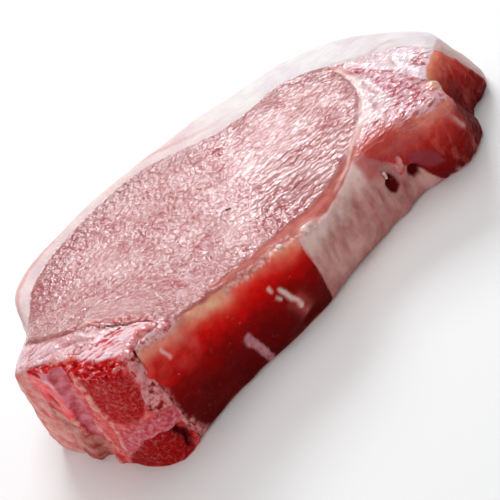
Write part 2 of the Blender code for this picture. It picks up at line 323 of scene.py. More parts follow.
below = np.interp(along_x, rim[0], rim[2]) - loose[:, 2]
bevel = ramp(half * 1.15 - gap, -0.5, 0.5) * np.clip(eye + seam, 0, 1) * ramp(-beyond, -0.6, 0.2)
frayed_rim = beyond + 1.3 * tail * swell_noise(loose, 2.4, 38) * ramp(2 - below, -1.5, 0)
frayed_rim += 0.9 * ramp(-22 - along_x, 0, 4) * ramp(along_x + 58, 0, 4)
inland = ramp(-frayed_rim, 0.0, 0.8)
bevel = np.maximum(bevel, (1 - inland) * eye * ramp(outward[:, 2], 0.2, 0.5) * ramp(-beyond, -1.2, -0.4))
cut_face = top * lean * (1 - bevel) * inland
print("cut face covers %.0f %% of the skin" % (100 * cut_face.mean()))

# %% [markdown]
# ## Broad forms and seams
#
# Flesh sags and pulls, so nothing on it is flat. Low waves go over every side, and the seams
# between muscle and fat sink a little. The bevel along the rib side falls away to the rim.

# %% Waves, seams and bevel
lift = 0.35 * top * swell_noise(spots, 15, 40) + 0.6 * side * swell_noise(spots, 8, 41)
lift += 0.25 * side * swell_noise(spots, 3.4, 42) + 0.12 * under * swell_noise(spots, 5, 43)
calm = 1 - 0.6 * patch([(34, -20), (40, -13), (46, -6), (49, 1), (52, -4), (49, -15), (46, -24),
                        (40, -25)], loose[:, :2], 1.6)
near_fat = ramp(12 - reach[SOFT_NODES.index("fat_cap")], 0, 9) * eye * cut_face
lift += cut_face * calm * (0.22 - 0.09 * (tail + cap)) * cut_relief
lift -= 0.15 * cut_face * calm * cracks * np.maximum(slant, near_fat)
lift += 0.45 * (tail + cap) * side * swell_noise(loose, 2.0, 39)
lift -= 0.4 * np.exp(-((seam_reach / 0.9) ** 2)) * (0.4 + 0.6 * side)
lift -= 0.25 * bevel
from_rim = np.hypot(beyond - 0.4, np.maximum(below - 0.6, 0))
crumbs = np.exp(-((from_rim / 0.9) ** 2)) * ramp(along_x, -33, -25) * ramp(8 - along_x, 0, 4)
lift += crumbs * (0.35 * swell_noise(loose, 1.5, 46) + 0.15)
lift += 0.5 * seam * side * swell_noise(loose, 2.6, 48)
print("waves from %.2f to %.2f mm" % (lift.min(), lift.max()))

# %% [markdown]
# ## Creases, ridges, holes and lumps
#
# These are the forms that make this one chop: the groove between the long eye and
# the small muscle over the backbone, the torn rim of the rib side, two holes where vessels
# ran through the seam fat, the knob at the end of the flank. Each is a line of points
# with a width and a height in millimetres. Negative heights sink.

# %% Lines of relief
# Creases sink, and the darker paint along them is painted shade in the crease.
CREASES = [  # width, height and points; the deep ones also take a darker paint
    (0.9, -1.1, [(-75, -1, 34.5), (-71, -9, 36.5), (-65.5, -17, 38.2), (-60.5, -19, 38)]),
    (0.7, -0.9, [(-78, -17, 39), (-72, -21.5, 40.2), (-66.5, -24.5, 40.6), (-61.5, -30, 40)]),
    (0.8, -0.8, [(-59.5, -24, 38.4), (-56.8, -27.3, 38.4), (-53, -31, 37.3), (-48.5, -34.5, 35.5)]),
    (0.5, -0.6, [(17.5, -13, 26.3), (20.5, -11.5, 26.4), (23.5, -12.8, 26.5)]),
    (0.5, -0.5, [(5, 16, 27.6), (-3, 17.3, 27.8)]),
    (0.5, -0.5, [(5, 16, 27.6), (8.7, 14.4, 27.5)]),
    (0.5, -0.5, [(5, 16, 27.6), (5.5, 11.5, 27.5)]),
    (0.6, -0.6, [(49.5, 5, 25.5), (52, -0.5, 26), (55, -5, 25), (59.5, -13.5, 25), (58, -20.5, 24.5)]),
    (0.5, -0.4, [(57.5, 5, 25), (61.5, -3, 24), (60.5, -9, 24.5), (59.5, -12, 25)]),
    (0.6, -0.5, [(48.5, 3, 25.8), (47, -4, 26.3), (43, -12, 26.7), (38, -17, 26.7), (31, -22, 26)]),
]
RIDGES = [
    (1.6, 0.9, [(-72, -17, 38.5), (-66, -21.5, 39.8), (-62, -25, 39.8)]),
    (1.0, 0.6, [(44.5, -31, 26), (48, -33, 26), (52.5, -33.5, 25), (56, -30, 24)]),
    (0.9, 0.7, [(51, -35, 23.5), (54, -36.4, 18), (57, -36, 12)]),
    (1.3, 0.7, [(-60, -43, 35), (-57.5, -42.4, 27), (-53.5, -41.2, 21.5), (-50.5, -40.6, 13),
                (-47.5, -40, 7)]),
    (1.5, 0.6, [(-15.7, -38.3, 16.6), (-13.9, -38.8, 10.9), (-13.4, -38.7, 3.9)]),
    (1.0, 0.5, [(36, -23, 26), (41, -20, 26.5), (44, -14, 26.6)]),
]
LUMPS = [  # centre, radii and height
    ((57.6, -27.2, 23.6), (2.2, 2.5, 3), 2.5), ((-57, -41.5, 31.5), (4, 4, 4), 1.1),
    ((-49, -40, 29), (4.5, 4, 3.5), 1.2), ((-43.5, -39, 25), (3.5, 4, 3), 0.7),
    ((2.5, -34.5, 22.5), (4, 3, 3), 0.9), ((-17.7, -39, 5.6), (3, 3, 3), 0.8),
    ((34.5, -32.3, 16), (3, 3, 3.5), 1.0), ((26.5, -31.5, 20.5), (3.5, 3, 3), 0.9),
    ((13, -34, 8), (5, 4, 4), 0.9), ((22, -32.5, 11), (4, 4, 5), 0.8),
    ((-39, -38.5, 12), (6, 4, 5), 0.6), ((-6, -37, 10), (5, 4, 5), 0.7),
    ((30.5, -32.5, 13), (2.4, 4, 4.8), -3.0), ((28.3, -31.5, 16), (1.5, 3, 2.2), 2.4),
    ((38.3, -32.5, 9.5), (2.3, 4, 3.2), -2.6), ((63.5, -27, 13), (4, 5, 7), -1.4),
]
dark_lines_and_crease_shade = np.zeros(len(spots))
for width, height, points in CREASES:
    mark = stroke(points, width, loose)
    lift += height * mark
    dark_lines_and_crease_shade = np.maximum(dark_lines_and_crease_shade, mark)
for width, height, points in RIDGES:
    lift += height * stroke(points, width, loose) * (1 + 0.5 * swell_noise(spots, 2.5, 44))
for centre, radii, height in LUMPS:
    lift += height * blob(centre, radii, loose)
carved = spots + outward * lift[:, None]
carved[:, 2] = np.maximum(carved[:, 2], 0)
move_to(flesh, carved)
print("skin moved by %.2f to %.2f mm" % (lift.min(), lift.max()))

# %% [markdown]
# ## Masks as attributes
#
# Paint needs to know what each spot is: fat, cut lean, deep red wall. Every mask is stored
# on the mesh under a plain name, and the material reads it there. This keeps the colours in
# the material, where they are easy to change, and the places in the mesh. The sides of the
# rib face are painted as patches on a chart of length and height.

# %% Places on the rib side
def keep_mask(piece, name, values):
    """Stores one number for each vertex of a piece."""
    layer = piece.data.attributes.new(name, "FLOAT", "POINT")
    layer.data.foreach_set("value", np.clip(values, 0, 1).astype(np.float32))




flat, rib_chart = loose[:, :2], loose[:, [0, 2]]
facing = ramp(-outward[:, 1], 0.1, 0.5) * (1 - ramp(outward[:, 2], 0.55, 0.8))
ease = 0.9 * tail * ramp(2 - below, -1.5, 0)
front = ramp(frayed_rim, -0.3 - ease, 0.5 + ease) * ramp(np.maximum(-outward[:, 1], outward[:, 0]), -0.1, 0.2)
wall = front * (eye + tail + cap) * (1 - under)
crust = crumbs * ramp(swell_noise(loose, 1.1, 46), -0.3, 0.4)
# The glow is painted light: light shining through the thin rim is laid into the colour as a peach band. The
# knob at the end of the flank takes the same paint, partly its own peach colour and partly painted glow.
glow = np.exp(-((from_rim / (2.3 + 1.3 * swell_noise(spots, 9, 47))) ** 2)) * front
GLOW_AT = [(-66, 0.6), (-58, 0.6), (-50, 0.5), (-44, 0.3), (-38, 1), (-31, 1), (-27, 0.3),
           (-15, 0.2), (-10, 0.8), (-6, 0.7), (0, 0), (34, 0), (42, 0.15), (60, 0.4), (70, 0.5),
           (74, 0.3)]
knob = blob((57.6, -27.2, 23.6), (2.6, 2.8, 2.6), loose)
glow *= np.interp(along_x, *np.array(GLOW_AT, float).T) * (1 - fat) * (1 - seam)
glow = np.maximum(glow, np.minimum(1.3 * knob, 1))
print("rib wall covers %.0f %% of the skin" % (100 * wall.mean()))

# %% [markdown]
# Small marks come next: pale membranes and streaks, the violet vessel and veins in the seam
# fat, thin white strands round the eye, and the dark holes. Two of the pale marks are painted
# highlights, and painted shade darkens the hollow at the end of the flank. Strokes and patches
# draw them all.

# %% Small marks
FASCIA = [(-66, 36), (-61.5, 36), (-59.5, 28), (-57.5, 22), (-58, 14), (-56, 6), (-53, -2), (-68, -2)]
FLAP = [(38.5, 17.5), (42, 16.5), (46, 11.5), (47, 8), (43, 8), (39, 11), (37.5, 14)]
LEDGE = [(-60, -27), (-53, -30.5), (-48, -34.5), (-43, -37), (-46, -38.3), (-51, -39.4), (-56, -41),
         (-60, -44)]
SLIT = [(-59, -21), (-54, -24.5), (-48, -31.8), (-49, -34.5), (-54, -31), (-58, -26.5)]
CREAM = [(34, -20), (40, -13), (46, -6), (49, 1), (52, -4), (49, -15), (46, -24), (40, -25)]
TAIL_RED = [(24, -28), (30, -25.5), (36, -25.5), (44, -31.5), (44, -36), (24, -36)]
EYE_LINE = [(46.9, 12, 26), (50, 6.3, 26), (49.2, -2.4, 26), (46, -9, 26.4), (40, -15.5, 26.4),
            (34.5, -21, 26.4), (29, -23.6, 26), (23, -27.5, 24.5), (14, -30.5, 23)]
SECOND_LINE = [(45, -12, 26.5), (40, -17.5, 26.5), (35.5, -22.5, 26.4), (29, -26, 25.6)]
ARC = [(49, 14.8, 26), (55, 7.7, 25.3), (59.2, 4.1, 24.8), (64.4, 4.6, 24.1), (68.3, 3.7, 23.7),
       (70.7, -0.9, 23.4)]
LENS = [(54, 5.5, 25.2), (58, 2, 25), (60.5, -4, 24.7), (60.2, -11.5, 24.7)]
STREAK = [(50.8, 4.4, 25.8), (53.5, 0, 25.5), (55.5, -5.6, 25.2), (59, -13, 24.8)]
fascia = patch(FASCIA, rib_chart, 1.2) * facing
LOBES = [([(-59.5, 37), (-53.5, 34), (-51, 30), (-52.5, 25), (-56.5, 23.5), (-58.8, 28)], 0.8),
         ([(-51, 33), (-45.5, 31.5), (-42.5, 26), (-45, 19), (-49.5, 20), (-51.5, 26)], 0.75)]
violet = 0.9 * patch(FLAP, rib_chart, 0.7) * facing
pale = np.maximum(stroke(EYE_LINE, 0.55, loose, 0.05), 0.8 * stroke(SECOND_LINE, 0.9, loose))
pale = np.maximum(pale, 0.7 * stroke(LENS, 1.3, loose))
for width, height, points in RIDGES[1:3] + RIDGES[5:]:
    pale = np.maximum(pale, 0.5 * stroke(points, width * 0.8, loose))
# the second blob, on top of the knob at the end of the flank, is a painted highlight
for centre, radii in (((1, -35.4, 23.6), (4, 2, 2.6)), ((57.2, -27, 25), (1.5, 1.6, 1.6))):
    pale = np.maximum(pale, 0.8 * blob(centre, radii, loose))
MARKS = [  # half width and points of pale marks on the rib wall
    (0.75, [(-16.4, -38.2, 17.5), (-15, -38.7, 13.5), (-13.6, -38.8, 9)]),
    (0.4, [(-18.9, -38, 18.8), (-18.8, -38, 20.2)]),
    # the second mark on the next line, on the lobe by the backbone, is a painted highlight
    (0.3, [(-18.6, -38.3, 16.4), (-17.8, -38.4, 15.2)]), (0.3, [(-52.3, -40.7, 32.5), (-51.6, -40.7, 28.5)]),
]
torn = swell_noise(spots, 2.2, 49)
for width, points in MARKS:
    spine = beside(points, loose)[0]
    pale = np.maximum(pale, ramp(width * (1 + 0.3 * torn) - spine, -0.5, 0.45))
TAPE = [(-31.5, -38.6, 13.2), (-30.2, -38.7, 8.5), (-29.2, -38.7, 4), (-28.6, -38.6, 0)]
tape = ramp(1.25 * (1 + 0.25 * torn) - beside(TAPE, loose)[0], -0.3, 0.3)
flesh_pink = stroke([(-15, -38.7, 14), (-13.4, -38.8, 9), (-12.4, -38.8, 4)], 2.2, loose)
flank = tail * ramp(outward[:, 0], 0.3, 0.65) * ramp(22 - loose[:, 2], 0, 3)
cream = patch(CREAM, flat, 1.6) * top * inland
salmon = np.maximum(stroke(STREAK, 0.6, loose), 0.9 * patch(SLIT, flat, 0.7) * top)
lobes = np.zeros(len(spots))
for outline, amount in LOBES:
    rise = ramp(rib_chart[:, 1], min(z for x, z in outline) - 3, max(z for x, z in outline))
    lobes = np.maximum(lobes, amount * patch(outline, rib_chart, 1.5) * facing * rise)
salmon = np.maximum(salmon, 0.9 * patch(TAIL_RED, flat, 1.2) * ramp(loose[:, 2], 17, 20))
ledge = patch(LEDGE, flat, 0.8) * ramp(outward[:, 2], 0.1, 0.35) * ramp(2 - below, -1, 1)
HOLE_ONE = [(28.5, 17), (31, 16), (32.4, 13), (32.6, 9.5), (31, 8), (29.4, 9.5), (28.6, 13)]
HOLE_TWO = [(36.6, 11), (38.5, 12), (40, 10), (39.6, 7.5), (37.6, 7)]
# Near-black red: blood in the two holes. The hollow between the flank and the cap, the flank that faces it,
# and the slit along the third crease are painted the same dark as painted shade.
blood_and_shade = np.maximum(patch(HOLE_ONE, rib_chart, 0.4), patch(HOLE_TWO, rib_chart, 0.4)) * facing
blood_and_shade = np.maximum(blood_and_shade, 0.8 * blob((64, -26, 11), (5, 6, 10), loose)) * (1 - 0.8 * pale)
blood_and_shade = np.maximum(blood_and_shade, 0.85 * flank)
blood_and_shade = np.maximum(blood_and_shade, 0.8 * blob((66, -23, 12), (7, 5, 7), loose) * side)
blood_and_shade = np.maximum(blood_and_shade, stroke(CREASES[2][2], 0.7, loose))
arc = 0.6 * stroke(ARC, 0.7, loose)
print("marks cover up to %.1f %% of the skin" % (100 * (pale + violet + salmon + blood_and_shade).mean()))

# %% Store the masks
masks = {
    "fat": fat, "seam": seam, "tail": tail, "cap": cap, "chine": chine, "cut": cut_face,
    "bevel": bevel, "wall": wall, "cracks": cracks * cut_face, "near_fat": near_fat,
    "slant": slant, "side": side,
    "bead": np.clip(0.5 + 0.5 * cut_relief, 0, 1), "front": front, "height": 1 - below / (below + spots[:, 2]),
    "fascia": fascia, "violet": violet, "glow": glow, "crust": crust, "pale": pale, "tape": tape,
    "cream": cream, "salmon": salmon, "rim": np.exp(-((from_rim / (1.6 + 1.6 * tail)) ** 2)) * (tail + eye), "ledge": ledge, "lobes": np.maximum(lobes, 0.8 * flesh_pink), "blood_and_shade": blood_and_shade, "dark_lines_and_crease_shade": np.maximum(dark_lines_and_crease_shade, arc),
    # the far end of the chop, where the fat is painted paler as painted light
    "lit_far_end": ramp(spots[:, 0], -15, 40), "layer": reach[[0, 1, 3, 4, 5]].min(axis=0) / 12,
}
for name, values in masks.items():
    keep_mask(flesh, name, values)
print("masks:", ", ".join(masks))

# %% [markdown]
# The underside rests on the table and is nearly flat, so it needs far fewer faces than the rest.
# A decimation that is held to the underside by a vertex group thins it.

# %% Thin the net underneath
def thin(piece, chosen, ratio):
    """Collapses faces of a piece, almost only where its vertices are chosen."""
    group = piece.vertex_groups.new(name="thin")
    group.add(np.nonzero(chosen)[0].tolist(), 1.0, "REPLACE")
    fewer = piece.modifiers.new("thin", "DECIMATE")
    fewer.ratio, fewer.vertex_group, fewer.vertex_group_factor = ratio, "thin", 1000.0
    settle(piece)
    piece.vertex_groups.clear()


thin(flesh, (under > 0.98) & (spots[:, 2] < 0.6), 0.72)
for polygon in flesh.data.polygons:
    polygon.use_smooth = True
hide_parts(*SOFT_NODES)
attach(flesh, "root")
triangles = sum(len(polygon.vertices) - 2 for polygon in flesh.data.polygons)
print("flesh:", len(flesh.data.vertices), "vertices,", triangles, "triangles")

# %% [markdown]
# ## The backbone
#
# The saw went through one vertebra, so its corner shows what bone is inside: a thin white
# shell, dark red marrow with fine grain, half of the smooth canal that held the nerve cord, and
# a glossy band of disc. Bone is hard, so this skin has a finer net and less smoothing. The
# places are drawn as patches on a chart: one way round the sawn corner, and height.

# %% Skin and chart of the backbone
backbone = fused("backbone", ("chine_bone",), 0.3, 0.38, 5)
spots, outward = spots_of(backbone)
bend = np.stack([swell_noise(spots, 2.4, 50 + axis) for axis in range(3)], axis=1)
loose = spots + 0.4 * bend


def corner_chart(where):
    """Millimetres round the sawn corner, seen from above, and height."""
    return np.stack([0.75 * where[:, 0] - 0.66 * where[:, 1], where[:, 2]], axis=1)


PATCHES = {  # outlines on the chart of the sawn corner
    "marrow": [(-31, 39), (-20.5, 39.5), (-18, 35), (-18.4, 28), (-20.5, 22.5), (-24, 19.8),
               (-28, 20), (-30.4, 22), (-32, 27), (-32, 33)],
    "disc": [(-31, 17), (-27.5, 18.5), (-24, 20), (-19, 19.5), (-15.5, 17.5), (-15.5, 14),
             (-18, 12.3), (-21, 13.5), (-26, 13), (-29, 10), (-34, 5.5), (-35.4, 8), (-33, 13)],
    "grit": [(-34, 5.5), (-29, 10), (-26, 13), (-21, 13.5), (-18, 12.3), (-16, 8), (-18, -3),
             (-38, -3), (-36, 3)],
    "gloss": [(-50, 38), (-42, 36.5), (-41.5, 31), (-42.6, 23), (-44.5, 19), (-47.5, 25), (-50, 30)],
    "meat": [(-60, 27), (-48, 25), (-44.5, 20), (-43.6, 12), (-41, 5), (-38, -3), (-60, -3)],
    "fascia": [(-17.5, 60), (-17.6, 34), (-18, 28), (-20, 22.5), (-18.5, 19.5), (-10, 17), (0, 60)],
}
chart = corner_chart(loose)
face = ramp(0.65 - outward[:, 2], 0, 0.3) * ramp(outward[:, 2] + 0.7, 0, 0.2)
places = {name: patch(outline, chart) * face for name, outline in PATCHES.items()}
strip, along = beside([(-80, -19, 39.5), (-77.5, -24, 41.5), (-74.5, -29, 42.5),
                       (-71.5, -37, 42), (-68.5, -41, 41.5), (-65, -43, 40)], loose)
places["sponge"] = ramp(3.4 - strip, -0.5, 0.5) * ramp(loose[:, 2], 36.5, 38)
lip = beside([(-73.2, -35.6, 42), (-73.3, -35.8, 36), (-73.4, -34.4, 29), (-72.9, -35, 24.5),
              (-72.8, -35, 20), (-73, -34.2, 14.5), (-73.6, -32.6, 8), (-74, -31, 4)], loose)[0]
far_lip = beside([(-78.8, -23.5, 21), (-78.6, -22.6, 14), (-77.8, -23, 9), (-76, -26, 4)],
                 loose)[0]
flange = beside([(-75.6, -29, 21), (-75, -30, 13), (-75.2, -28.8, 6)], loose)[0]
frayed = 0.5 * swell_noise(loose, 2.2, 60)
places["shell"] = np.maximum(ramp(0.65 + frayed - lip, -0.3, 0.3),
                             ramp(0.5 + frayed - far_lip, -0.3, 0.3))
places["shell"] = np.maximum(places["shell"], ramp(0.5 + frayed - flange, -0.3, 0.3))
back_edge = beside([(-79.8, -16.5, 39.5), (-76, -22, 41), (-73, -27, 42.2), (-69.5, -32, 42.5)],
                   loose)[0]
places["shell"] = np.maximum(places["shell"], ramp(0.7 + frayed - back_edge, -0.3, 0.3))
hollow = beside([(-76, -27, 44), (-76.6, -26, 30), (-77.5, -24, 12)], loose)[0]
places["canal"] = ramp(4.6 - hollow, -0.5, 0.5) * face * (1 - places["shell"])
places["canal"] *= (1 - places["meat"]) * (1 - places["gloss"])
top = ramp(outward[:, 2], 0.5, 0.8)
places["crown"] = top * (1 - places["sponge"])
print("places on the bone:", ", ".join(sorted(places)))

# %% [markdown]
# The relief follows the places. Marrow and sponge are pitted, the shell stands up as a fine
# rim, the disc swells, and a cleft parts the vertebra from the next one at the foot. The cleft
# and a small hole are painted dark, as painted shade.

# %% Relief of the backbone
near, second = pebble_noise(loose, 1.1, 55)
grains = ramp(0.55 - near, 0, 0.5) - 0.5
pit_near, pit_second = pebble_noise(loose, 1.9, 56)
pits = ramp(0.5 - pit_near, 0, 0.25)
fibre = swell_noise(np.stack([loose @ np.array([0.5, -0.6, 0]) / 2.2,
                              loose @ np.array([0.8, 0.6, 0]), loose[:, 2]], axis=1), 0.9, 57)
lift = 0.22 * swell_noise(loose, 3.2, 58)
lift += places["marrow"] * (0.26 * grains - 0.45) + places["grit"] * (0.3 * grains - 0.3)
lift += places["sponge"] * (0.2 * grains - 1.1 * pits - 0.35)
lift += 0.55 * places["shell"] + 0.55 * places["disc"]
lift += places["crown"] * (0.22 * fibre - 0.5 * pits * ramp(swell_noise(spots, 4, 59), 0, 0.4))
lift += places["meat"] * (0.5 + 0.15 * grains) + places["fascia"] * 0.2 * grains
CLEFT = [(-62.5, -43.2, 12.5), (-61, -42.8, 9), (-59.8, -42, 5.5), (-61.5, -42.6, 2)]
HOLE = [(-79.6, -20.3, 29), (-79.3, -21, 26.6)]
cleft = stroke(CLEFT, 1.2, loose, 0.1)
hole = stroke(HOLE, 1.0, loose, 0.0)
lift -= 2.2 * cleft + 1.4 * hole
# the cleft and the hole are painted dark as painted shade
places["dark"] = np.maximum(cleft, hole)
carved = spots + outward * lift[:, None]
carved[:, 2] = np.maximum(carved[:, 2], 0)
move_to(backbone, carved)
places["bead"] = np.clip(0.5 + 0.5 * (grains + 0.5 * fibre), 0, 1)
for name, values in places.items():
    keep_mask(backbone, name, values)
for polygon in backbone.data.polygons:
    polygon.use_smooth = True
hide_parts("chine_bone")
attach(backbone, "root")
print("backbone:", len(backbone.data.vertices), "vertices")

# %% [markdown]
# ## Scraps of membrane
#
# Knife and saw leave scraps: torn membrane along the rim, a flat strip stuck to the rib wall, a
# flap over the groove of the backbone, the cut vessel in the seam fat. Each is a thin ribbon
# that is pressed onto the skin: for every point of it the nearest spot of the skin is found, and
# the ribbon rises a little above that spot and tucks its edges under.

# %% A ribbon pressed onto the skin
graph = bpy.context.evaluated_depsgraph_get()
skins = [BVHTree.FromObject(piece, graph) for piece in (flesh, backbone)]


def onto_skin(point):
    """The nearest spot on the skins in millimetres, and the way outward there."""
    found = [skin.find_nearest(Vector(point) * MM) for skin in skins]
    spot, way = min(found, key=lambda hit: hit[3])[:2]
    return np.array(spot) / MM, np.array(way)


def ribbon(points, half, rise, salt):
    """Vertices and faces of a strip with torn edges along a line of points."""
    points = np.asarray(points, float)
    walked = np.append(0, np.cumsum(np.linalg.norm(np.diff(points, axis=0), axis=1)))
    count = max(int(walked[-1] / 0.4), 7)
    at = np.linspace(0, walked[-1], count)
    centre = np.stack([np.interp(at, walked, points[:, axis]) for axis in range(3)], axis=1)
    ways = np.gradient(centre, axis=0)
    torn = swell_noise(centre + 7.0 * salt, 1.5, 70)
    half = half * np.sqrt(np.clip(1 - (2 * at / walked[-1] - 1) ** 6, 0.03, 1)) * (1 + 0.45 * torn)
    corners = []
    for spot, way, size in zip(centre, ways, half):
        aside = np.cross(onto_skin(spot)[1], way / np.linalg.norm(way))
        for share in np.linspace(-1, 1, 7):
            spot_on, outside = onto_skin(spot + aside * share * size)
            high = rise * (1 - share**4) - 0.12 * share**4
            corners.append(spot_on + outside * high)
    corners = np.array(corners)
    corners += 0.1 * np.stack([swell_noise(corners, 0.8, 71 + k) for k in range(3)], axis=1)
    grid = np.arange(count * 7).reshape(count, 7)
    faces = np.stack([grid[:-1, :-1], grid[1:, :-1], grid[1:, 1:], grid[:-1, 1:]], axis=-1)
    return corners, faces.reshape(-1, 4)


print("skins ready for", len(skins), "pieces")

# %% The scraps
SCRAPS = [  # kind, half width, rise and points
    ("pale", 1.5, 0.9, [(-2.5, -36.3, 24), (0, -35.4, 24), (3.2, -34.8, 23)]),
    ("pale", 1.0, 0.5, [(-10.5, -35.6, 26.4), (-8.5, -36, 26)]),
    ("pale", 1.2, 0.5, [(-63, -18.6, 38.3), (-60.2, -19.5, 38), (-58, -21.2, 38), (-56.8, -23, 38)]),
    ("rosy", 0.8, 0.4, [(-60, -20, 38), (-59.3, -22.5, 38.4), (-58.8, -25, 38.6)]),
    ("rosy", 1.2, 0.4, [(-60.6, -43.2, 38.4), (-59.4, -42.9, 34), (-58.9, -42.8, 29.5),
                        (-58.9, -42.6, 24), (-58.9, -42.5, 17), (-58.4, -42.2, 11),
                        (-57.6, -41.4, 3)]),
    ("rosy", 1.9, 0.3, [(-62, -43.4, 40), (-57.8, -40.1, 39.6), (-53.8, -37.4, 38.8),
                        (-50.4, -36, 37), (-48, -35.4, 35.5)]),
    ("rosy", 1.3, 0.5, [(-60.8, -43.3, 37), (-60.2, -43, 32), (-62, -43.2, 28.5), (-63.5, -43, 24)]),
    ("rosy", 1.3, 0.25, [(35.2, -32.4, 19), (34.6, -32.4, 15.5), (34.8, -32.5, 11)]),
    ("pale", 0.8, 0.9, [(28.2, -31.8, 17.5), (29.2, -32.2, 15)]),
    ("dark", 0.3, 0.3, [(-9, -10.1, 27.6), (-7.5, -11.1, 27.6)]),
]
corners, faces, kinds = [], [], []
for salt, (kind, half, rise, points) in enumerate(SCRAPS):
    new_corners, new_faces = ribbon(points, half, rise, salt)
    faces += (new_faces + sum(len(part) for part in corners)).tolist()
    corners.append(new_corners)
    kinds += [kind] * len(new_corners)
mesh = bpy.data.meshes.new("scraps")
mesh.from_pydata((np.concatenate(corners) * MM).tolist(), [], faces)
scraps = bpy.data.objects.new("scraps", mesh)
bpy.context.scene.collection.objects.link(scraps)
for kind in ("rosy", "dark"):
    keep_mask(scraps, kind, np.array([one == kind for one in kinds], float))
shell = scraps.modifiers.new("thickness", "SOLIDIFY")
shell.thickness, shell.offset = 0.25 * MM, -1.0
rounder = scraps.modifiers.new("rounder", "SUBSURF")
rounder.levels = rounder.render_levels = 1
settle(scraps)
for polygon in scraps.data.polygons:
    polygon.use_smooth = True
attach(scraps, "root")
print("scraps:", len(SCRAPS), "ribbons,", len(scraps.data.polygons), "faces")

# %% [markdown]
# ## Building materials in code
#
# A material is a small tree of nodes. These helpers add a node, set or link its sockets, and
# lay one colour over another where a mask says so.

# %% Helpers for nodes
def tone(red, green, blue):
    """A colour as a painter names it, from 0 to 255, in the linear light of the shader."""
    parts = [value / 255 for value in (red, green, blue)]
    return tuple(((p + 0.055) / 1.055) ** 2.4 if p > 0.04 else p / 12.92 for p in parts) + (1,)


def feed(tree, socket, value):
    """Links a socket, or sets its value."""
    if isinstance(value, bpy.types.NodeSocket):
        tree.links.new(value, socket)
    elif value is not None:
        socket.default_value = value


def node(tree, kind, inputs=(), out=0, **settings):
    """Adds a node, sets its options and inputs, and returns one output."""
    made = tree.nodes.new("ShaderNode" + kind)
    for name, value in settings.items():
        setattr(made, name, value)
    for name, value in dict(inputs).items():
        feed(tree, made.inputs[name], value)
    return made.outputs[out]


def over(tree, base, paint, mask):
    """One colour laid over another where the mask is 1."""
    return node(tree, "Mix", {0: mask, 6: base, 7: paint}, 2, data_type="RGBA")


def maths(tree, operation, a, b=0.5, clamp=False):
    """One sum on one or two values."""
    return node(tree, "Math", {0: a, 1: b}, operation=operation, use_clamp=clamp)


def mask_of(tree, name):
    """A stored mask, as a value."""
    return node(tree, "Attribute", out="Fac", attribute_name=name)


def between(tree, value, low, high, to_low=0.0, to_high=1.0):
    """A value taken from one range to another, clamped."""
    return node(tree, "MapRange", {0: value, 1: low, 2: high, 3: to_low, 4: to_high})


def noise(tree, place, scale, detail=3.0, rough=0.55):
    """Noise texture as a value."""
    return node(tree, "TexNoise", {"Vector": place, "Scale": scale, "Detail": detail,
                                   "Roughness": rough})


def new_material(name):
    """A material with an empty tree, its surface shader and its place coordinates."""
    material = bpy.data.materials.new(name)
    material.use_nodes = True
    tree = material.node_tree
    tree.nodes.clear()
    shader = tree.nodes.new("ShaderNodeBsdfPrincipled")
    end = tree.nodes.new("ShaderNodeOutputMaterial")
    tree.links.new(shader.outputs[0], end.inputs[0])
    place = node(tree, "TexCoord", out="Object")
    return material, tree, shader, place


def tones_of(tree, value, stops):
    """A colour for a value from 0 to 1, through a list of places and colours."""
    made = tree.nodes.new("ShaderNodeValToRGB")
    for at, colour in stops[2:]:
        made.color_ramp.elements.new(at)
    for element, (at, colour) in zip(made.color_ramp.elements, sorted(stops)):
        element.position, element.color = at, colour
    feed(tree, made.inputs[0], value)
    return made.outputs[0]


print("deep red in linear light:", [round(c, 3) for c in tone(150, 10, 8)])

# %% [markdown]
# Two effects are on every part of a chop: patchy colour, and drops of juice that glint. Each
# is a node group with named sockets, so that all the materials share one way of making it.

# %% Node groups for patchy colour and juice
def new_group(name, inputs, outputs):
    """An empty node group with named sockets, and its two end nodes."""
    tree = bpy.data.node_groups.new(name, "ShaderNodeTree")
    for side_of, sockets in (("INPUT", inputs), ("OUTPUT", outputs)):
        for label, kind in sockets:
            tree.interface.new_socket(label, in_out=side_of, socket_type="NodeSocket" + kind)
    return tree, tree.nodes.new("NodeGroupInput").outputs, tree.nodes.new("NodeGroupOutput").inputs


patchy, given, result = new_group(
    "patchy colour", [("Place", "Vector"), ("Scale", "Float"), ("First", "Color"),
                      ("Second", "Color"), ("Low", "Float"), ("High", "Float")],
    [("Colour", "Color")])
clouds = noise(patchy, given["Place"], given["Scale"])
share = between(patchy, clouds, given["Low"], given["High"])
feed(patchy, result["Colour"], over(patchy, given["First"], given["Second"], share))
juice, given, result = new_group(
    "juice", [("Place", "Vector"), ("Scale", "Float"), ("From", "Float")], [("Wet", "Float")])
drops = noise(juice, given["Place"], given["Scale"], 1.5)
full = maths(juice, "ADD", given["From"], 0.05)
feed(juice, result["Wet"], between(juice, drops, given["From"], full))


def group(tree, kind, inputs):
    """Places a node group in a material and sets its inputs; returns its output."""
    made = tree.nodes.new("ShaderNodeGroup")
    made.node_tree = kind
    for name, value in inputs.items():
        feed(tree, made.inputs[name], value)
    return made.outputs[0]


def two_tones(tree, place, scale, first, second, low=0.35, high=0.65):
    """Patchy colour between two tones."""
    return group(tree, patchy, {"Place": place, "Scale": scale, "First": first,
                                "Second": second, "Low": low, "High": high})


print("groups:", [tree.name for tree in bpy.data.node_groups])

# %% [markdown]
# ## Raw meat
#
# Raw lean is a wet, slightly clear solid: light goes in, comes out redder, and a film of juice on
# top gives sharp glints. The shader has subsurface scattering for the first and a coat for the
# second. The colours are laid on from the masks, and fine bump breaks the glints up.

